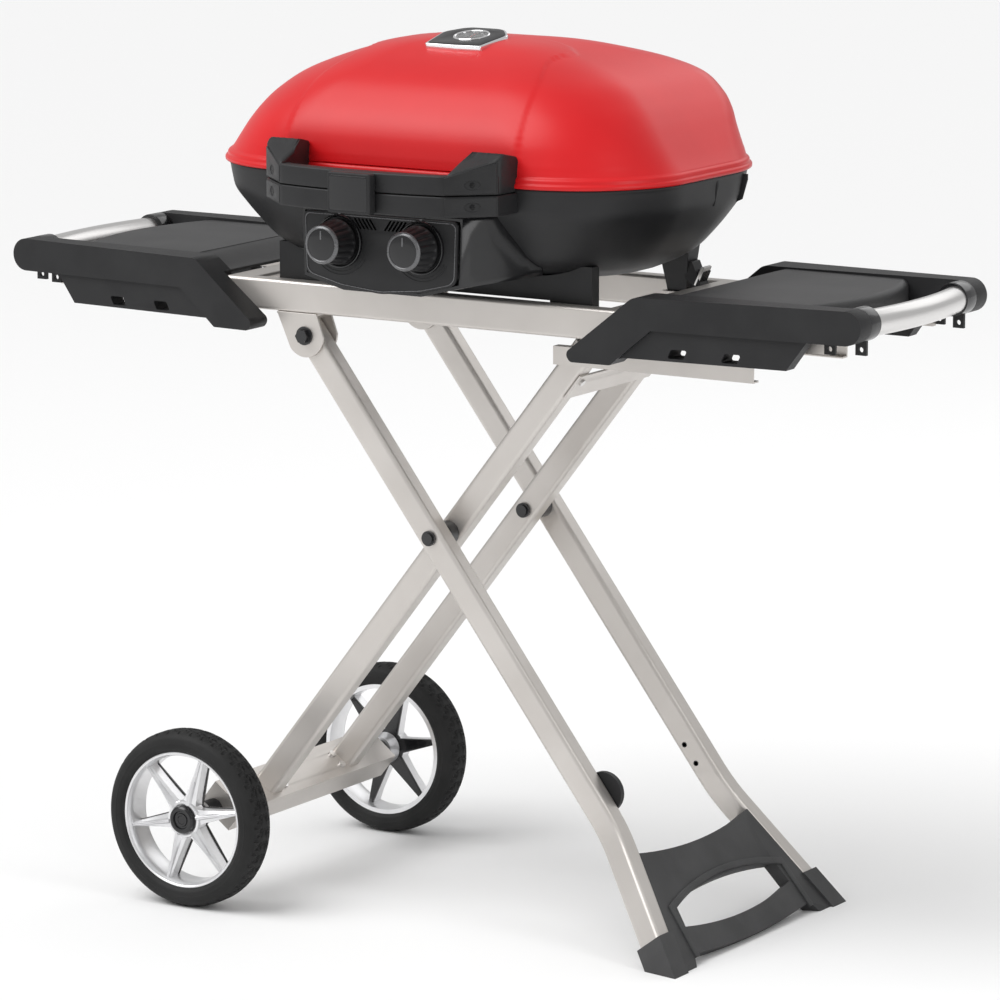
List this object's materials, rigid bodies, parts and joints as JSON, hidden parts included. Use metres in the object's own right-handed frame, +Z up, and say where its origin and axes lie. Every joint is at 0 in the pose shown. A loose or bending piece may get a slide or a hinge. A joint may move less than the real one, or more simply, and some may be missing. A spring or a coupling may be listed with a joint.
{
  "type": "portable gas grill on a folding cart",
  "caption": "Portable gas barbecue grill with a domed red lid, black cook box and fold-out side shelves on a crossed-leg folding cart with wheels.",
  "frame": {"origin": "on the ground under the middle of the bounding box", "axes": "+X along the side shelves, away from the wheels; +Y from the knobs to the hinge side; +Z up"},
  "size_m": [1.115, 0.512, 0.9921],
  "materials": {
    "red_paint": "satin",
    "black_paint": "satin",
    "frame_steel": "satin metallic",
    "bright_steel": "satin",
    "silver_plastic": "satin metallic",
    "black_plastic": "fine texture",
    "grey_plastic": "fine texture",
    "black_steel": "satin",
    "tyre": "matte",
    "chrome": "polished",
    "brass": "satin",
    "cast_iron": "enamelled",
    "aluminium": "satin",
    "dial_black": "gloss",
    "glass": "clear"
  },
  "bodies": {
    "frame_and_box": {"front_rail": "frame_steel", "rear_rail": "frame_steel", "left_cross_tube": "frame_steel", "right_cross_tube": "frame_steel", "frame_brackets": "frame_steel", "pivot_bolts": "black_steel", "guide_channels": "frame_steel", "shelf_cheek_right_front": "black_plastic", "shelf_cheek_right_rear": "black_plastic", "shelf_cheek_left_front": "black_plastic", "shelf_cheek_left_rear": "black_plastic", "shelf_panel_right": "grey_plastic", "shelf_panel_left": "grey_plastic", "shelf_handle_right": "bright_steel", "shelf_handle_left": "bright_steel", "base_bowl": "black_paint", "front_stand": "black_plastic", "rear_feet": "black_plastic", "frame_catches": "black_plastic", "burner_left": "bright_steel", "burner_right": "bright_steel", "gas_valves": "brass", "gas_pipe": "bright_steel", "grate_left": "cast_iron", "grate_right": "cast_iron", "control_panel": "black_paint", "panel_housing": "black_plastic", "knob_rings": "black_plastic", "base_handle": "black_plastic", "hinge_brackets": "black_steel"},
    "outer_legs": {"outer_leg_front": "frame_steel", "outer_leg_rear": "frame_steel", "foot_plate": "black_plastic", "fold_bumper": "black_plastic", "mid_pivot_bolts": "black_steel"},
    "inner_legs": {"inner_leg_front": "frame_steel", "inner_leg_rear": "frame_steel", "top_brace": "frame_steel", "guide_rollers": "black_plastic", "axle_channel": "frame_steel", "leg_screws": "bright_steel", "axle": "bright_steel", "axle_collars": "black_plastic"},
    "front_wheel": {"wheel_front": "silver_plastic", "tyre_front": "tyre", "hub_cap_front": "black_plastic"},
    "rear_wheel": {"wheel_rear": "silver_plastic", "tyre_rear": "tyre", "hub_cap_rear": "black_plastic"},
    "lid": {"lid_shell": "red_paint", "lid_handle": "black_plastic", "handle_badge": "black_plastic", "thermometer_bezel": "chrome", "gauge_dial": "dial_black", "gauge_glass": "glass"},
    "left_stem": {"valve_stem_left": "bright_steel"},
    "right_stem": {"valve_stem_right": "bright_steel"},
    "left_knob": {"knob_left": "black_plastic"},
    "right_knob": {"knob_right": "black_plastic"},
    "grease_tray": {"grease_tray": "aluminium"}
  },
  "joints": [
    {"name": "fold_outer", "type": "hinge", "parent": "frame_and_box", "child": "outer_legs", "pos_m": [-0.1557, 0.027, 0.652], "axis": [0, -1, 0], "range_deg": [0, 47]},
    {"name": "fold_inner", "type": "hinge", "parent": "outer_legs", "child": "inner_legs", "pos_m": [0.0061, 0.027, 0.4381], "axis": [0, -1, 0], "range_deg": [-93.2, 0]},
    {"name": "front_wheel_spin", "type": "hinge", "parent": "inner_legs", "child": "front_wheel", "pos_m": [-0.2675, -0.1808, 0.1016], "axis": [0, 1, 0], "continuous": true},
    {"name": "rear_wheel_spin", "type": "hinge", "parent": "inner_legs", "child": "rear_wheel", "pos_m": [-0.2675, 0.2348, 0.1016], "axis": [0, 1, 0], "continuous": true},
    {"name": "lid_hinge", "type": "hinge", "parent": "frame_and_box", "child": "lid", "pos_m": [0, 0.224, 0.849], "axis": [-1, 0, 0], "range_deg": [0, 95]},
    {"name": "left_knob_push", "type": "slide", "parent": "frame_and_box", "child": "left_stem", "axis": [0, 1, 0], "range_m": [0, 0.004], "stiffness_N_per_m": 1000, "springref_m": -0.001},
    {"name": "right_knob_push", "type": "slide", "parent": "frame_and_box", "child": "right_stem", "axis": [0, 1, 0], "range_m": [0, 0.004], "stiffness_N_per_m": 1000, "springref_m": -0.001},
    {"name": "left_knob_turn", "type": "hinge", "parent": "left_stem", "child": "left_knob", "pos_m": [-0.0525, -0.213, 0.776], "axis": [0, -1, 0], "range_deg": [0, 140]},
    {"name": "right_knob_turn", "type": "hinge", "parent": "right_stem", "child": "right_knob", "pos_m": [0.0525, -0.213, 0.776], "axis": [0, -1, 0], "range_deg": [0, 140]},
    {"name": "tray_slide", "type": "slide", "parent": "frame_and_box", "child": "grease_tray", "axis": [0, 1, 0], "range_m": [0, 0.12]}
  ],
  "couplings": [
    {"joint": "fold_inner", "follows": "fold_outer", "ratio": -1.981}
  ]
}
